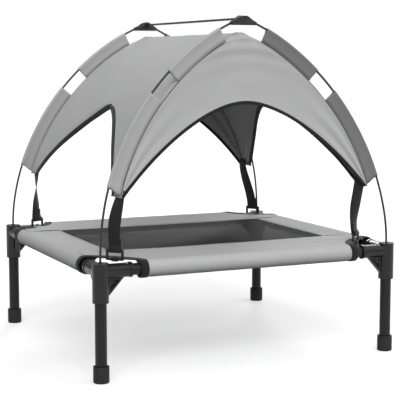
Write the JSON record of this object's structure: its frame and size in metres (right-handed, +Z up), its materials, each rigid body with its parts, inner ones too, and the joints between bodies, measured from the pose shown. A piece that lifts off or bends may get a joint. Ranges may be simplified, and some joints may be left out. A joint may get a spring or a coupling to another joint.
{
  "type": "raised dog bed with canopy",
  "caption": "Raised dog bed: a dark tube frame on short legs, a grey cloth mat with a mesh middle, and a lift-off grey canopy on two bent poles, open on all sides.",
  "frame": {"origin": "on the floor under the middle of the bed", "axes": "+X along the front of the bed, +Y from front to back, +Z up"},
  "size_m": [0.612, 0.574, 0.6387],
  "materials": {
    "painted_tube": "dark charcoal powder coat, satin",
    "corner_plastic": "black moulded plastic, fine texture",
    "foot_plastic": "black soft plastic foot cap",
    "buckle_plastic": "black moulded plastic, smooth",
    "pole_rod": "black glass-fibre rod, satin",
    "mat_cloth": "light grey woven polyester, heavy",
    "mat_mesh": "black open mesh",
    "edge_tape": "black woven binding tape",
    "canopy_cloth": "grey woven polyester, light, fine weave",
    "webbing": "black woven webbing"
  },
  "bodies": {
    "root": {"foot_cap_fl": "foot_plastic", "leg_tube_fl": "painted_tube", "corner_fitting_fl": "corner_plastic", "mat_corner_tape_fl": "edge_tape", "buckle_fl": "buckle_plastic", "mat_strap_loop_fl": "webbing", "foot_cap_fr": "foot_plastic", "leg_tube_fr": "painted_tube", "corner_fitting_fr": "corner_plastic", "mat_corner_tape_fr": "edge_tape", "buckle_fr": "buckle_plastic", "mat_strap_loop_fr": "webbing", "foot_cap_bl": "foot_plastic", "leg_tube_bl": "painted_tube", "corner_fitting_bl": "corner_plastic", "mat_corner_tape_bl": "edge_tape", "buckle_bl": "buckle_plastic", "mat_strap_loop_bl": "webbing", "foot_cap_br": "foot_plastic", "leg_tube_br": "painted_tube", "corner_fitting_br": "corner_plastic", "mat_corner_tape_br": "edge_tape", "buckle_br": "buckle_plastic", "mat_strap_loop_br": "webbing", "rail_front": "painted_tube", "mat_front_panel": "mat_cloth", "rail_back": "painted_tube", "mat_back_panel": "mat_cloth", "rail_left": "painted_tube", "mat_left_panel": "mat_cloth", "rail_right": "painted_tube", "mat_right_panel": "mat_cloth", "mat_mesh": "mat_mesh"},
    "canopy": {"hub_front": "buckle_plastic", "canopy_front_panel": "canopy_cloth", "canopy_front_trim": "edge_tape", "hub_back": "buckle_plastic", "canopy_back_panel": "canopy_cloth", "canopy_back_trim": "edge_tape", "canopy_left_trim": "edge_tape", "canopy_right_trim": "edge_tape", "canopy_roof": "canopy_cloth", "ridge_rod": "pole_rod", "pole_fl": "pole_rod", "strap_fl": "webbing", "pole_sleeve_fl_upper": "canopy_cloth", "pole_sleeve_fl_lower": "canopy_cloth", "pole_fr": "pole_rod", "strap_fr": "webbing", "pole_sleeve_fr_upper": "canopy_cloth", "pole_sleeve_fr_lower": "canopy_cloth", "pole_bl": "pole_rod", "strap_bl": "webbing", "pole_sleeve_bl_upper": "canopy_cloth", "pole_sleeve_bl_lower": "canopy_cloth", "pole_br": "pole_rod", "strap_br": "webbing", "pole_sleeve_br_upper": "canopy_cloth", "pole_sleeve_br_lower": "canopy_cloth"}
  },
  "joints": [
    {"name": "canopy_lift", "type": "slide", "parent": "root", "child": "canopy", "axis": [0, 0, 1], "range_m": [0, 0.04], "deforming": ["strap_fl", "strap_fr", "strap_bl", "strap_br"]}
  ]
}
